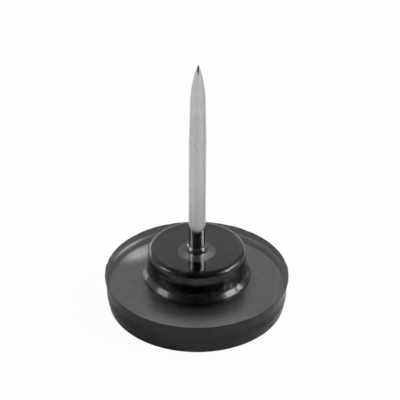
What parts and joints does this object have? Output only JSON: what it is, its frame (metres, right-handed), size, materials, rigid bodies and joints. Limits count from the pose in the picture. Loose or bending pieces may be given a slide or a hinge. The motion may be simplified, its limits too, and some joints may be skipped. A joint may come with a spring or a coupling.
{
  "type": "push pin",
  "caption": "Push pin with a pointed steel needle moulded into a flat round head of smoke-tinted clear plastic with a raised boss.",
  "frame": {"origin": "centre of the head's flat face, on which the pin stands", "axes": "+Z along the needle towards its tip, X and Y any two square directions, because the pin is round"},
  "size_m": [0.0112, 0.0112, 0.0168],
  "materials": {
    "tinted_plastic": "glossy moulded, smoke-tinted and see-through",
    "needle_steel": "drawn and ground, satin"
  },
  "bodies": {
    "root": {"plastic_head": "tinted_plastic", "steel_needle": "needle_steel"}
  },
  "joints": []
}
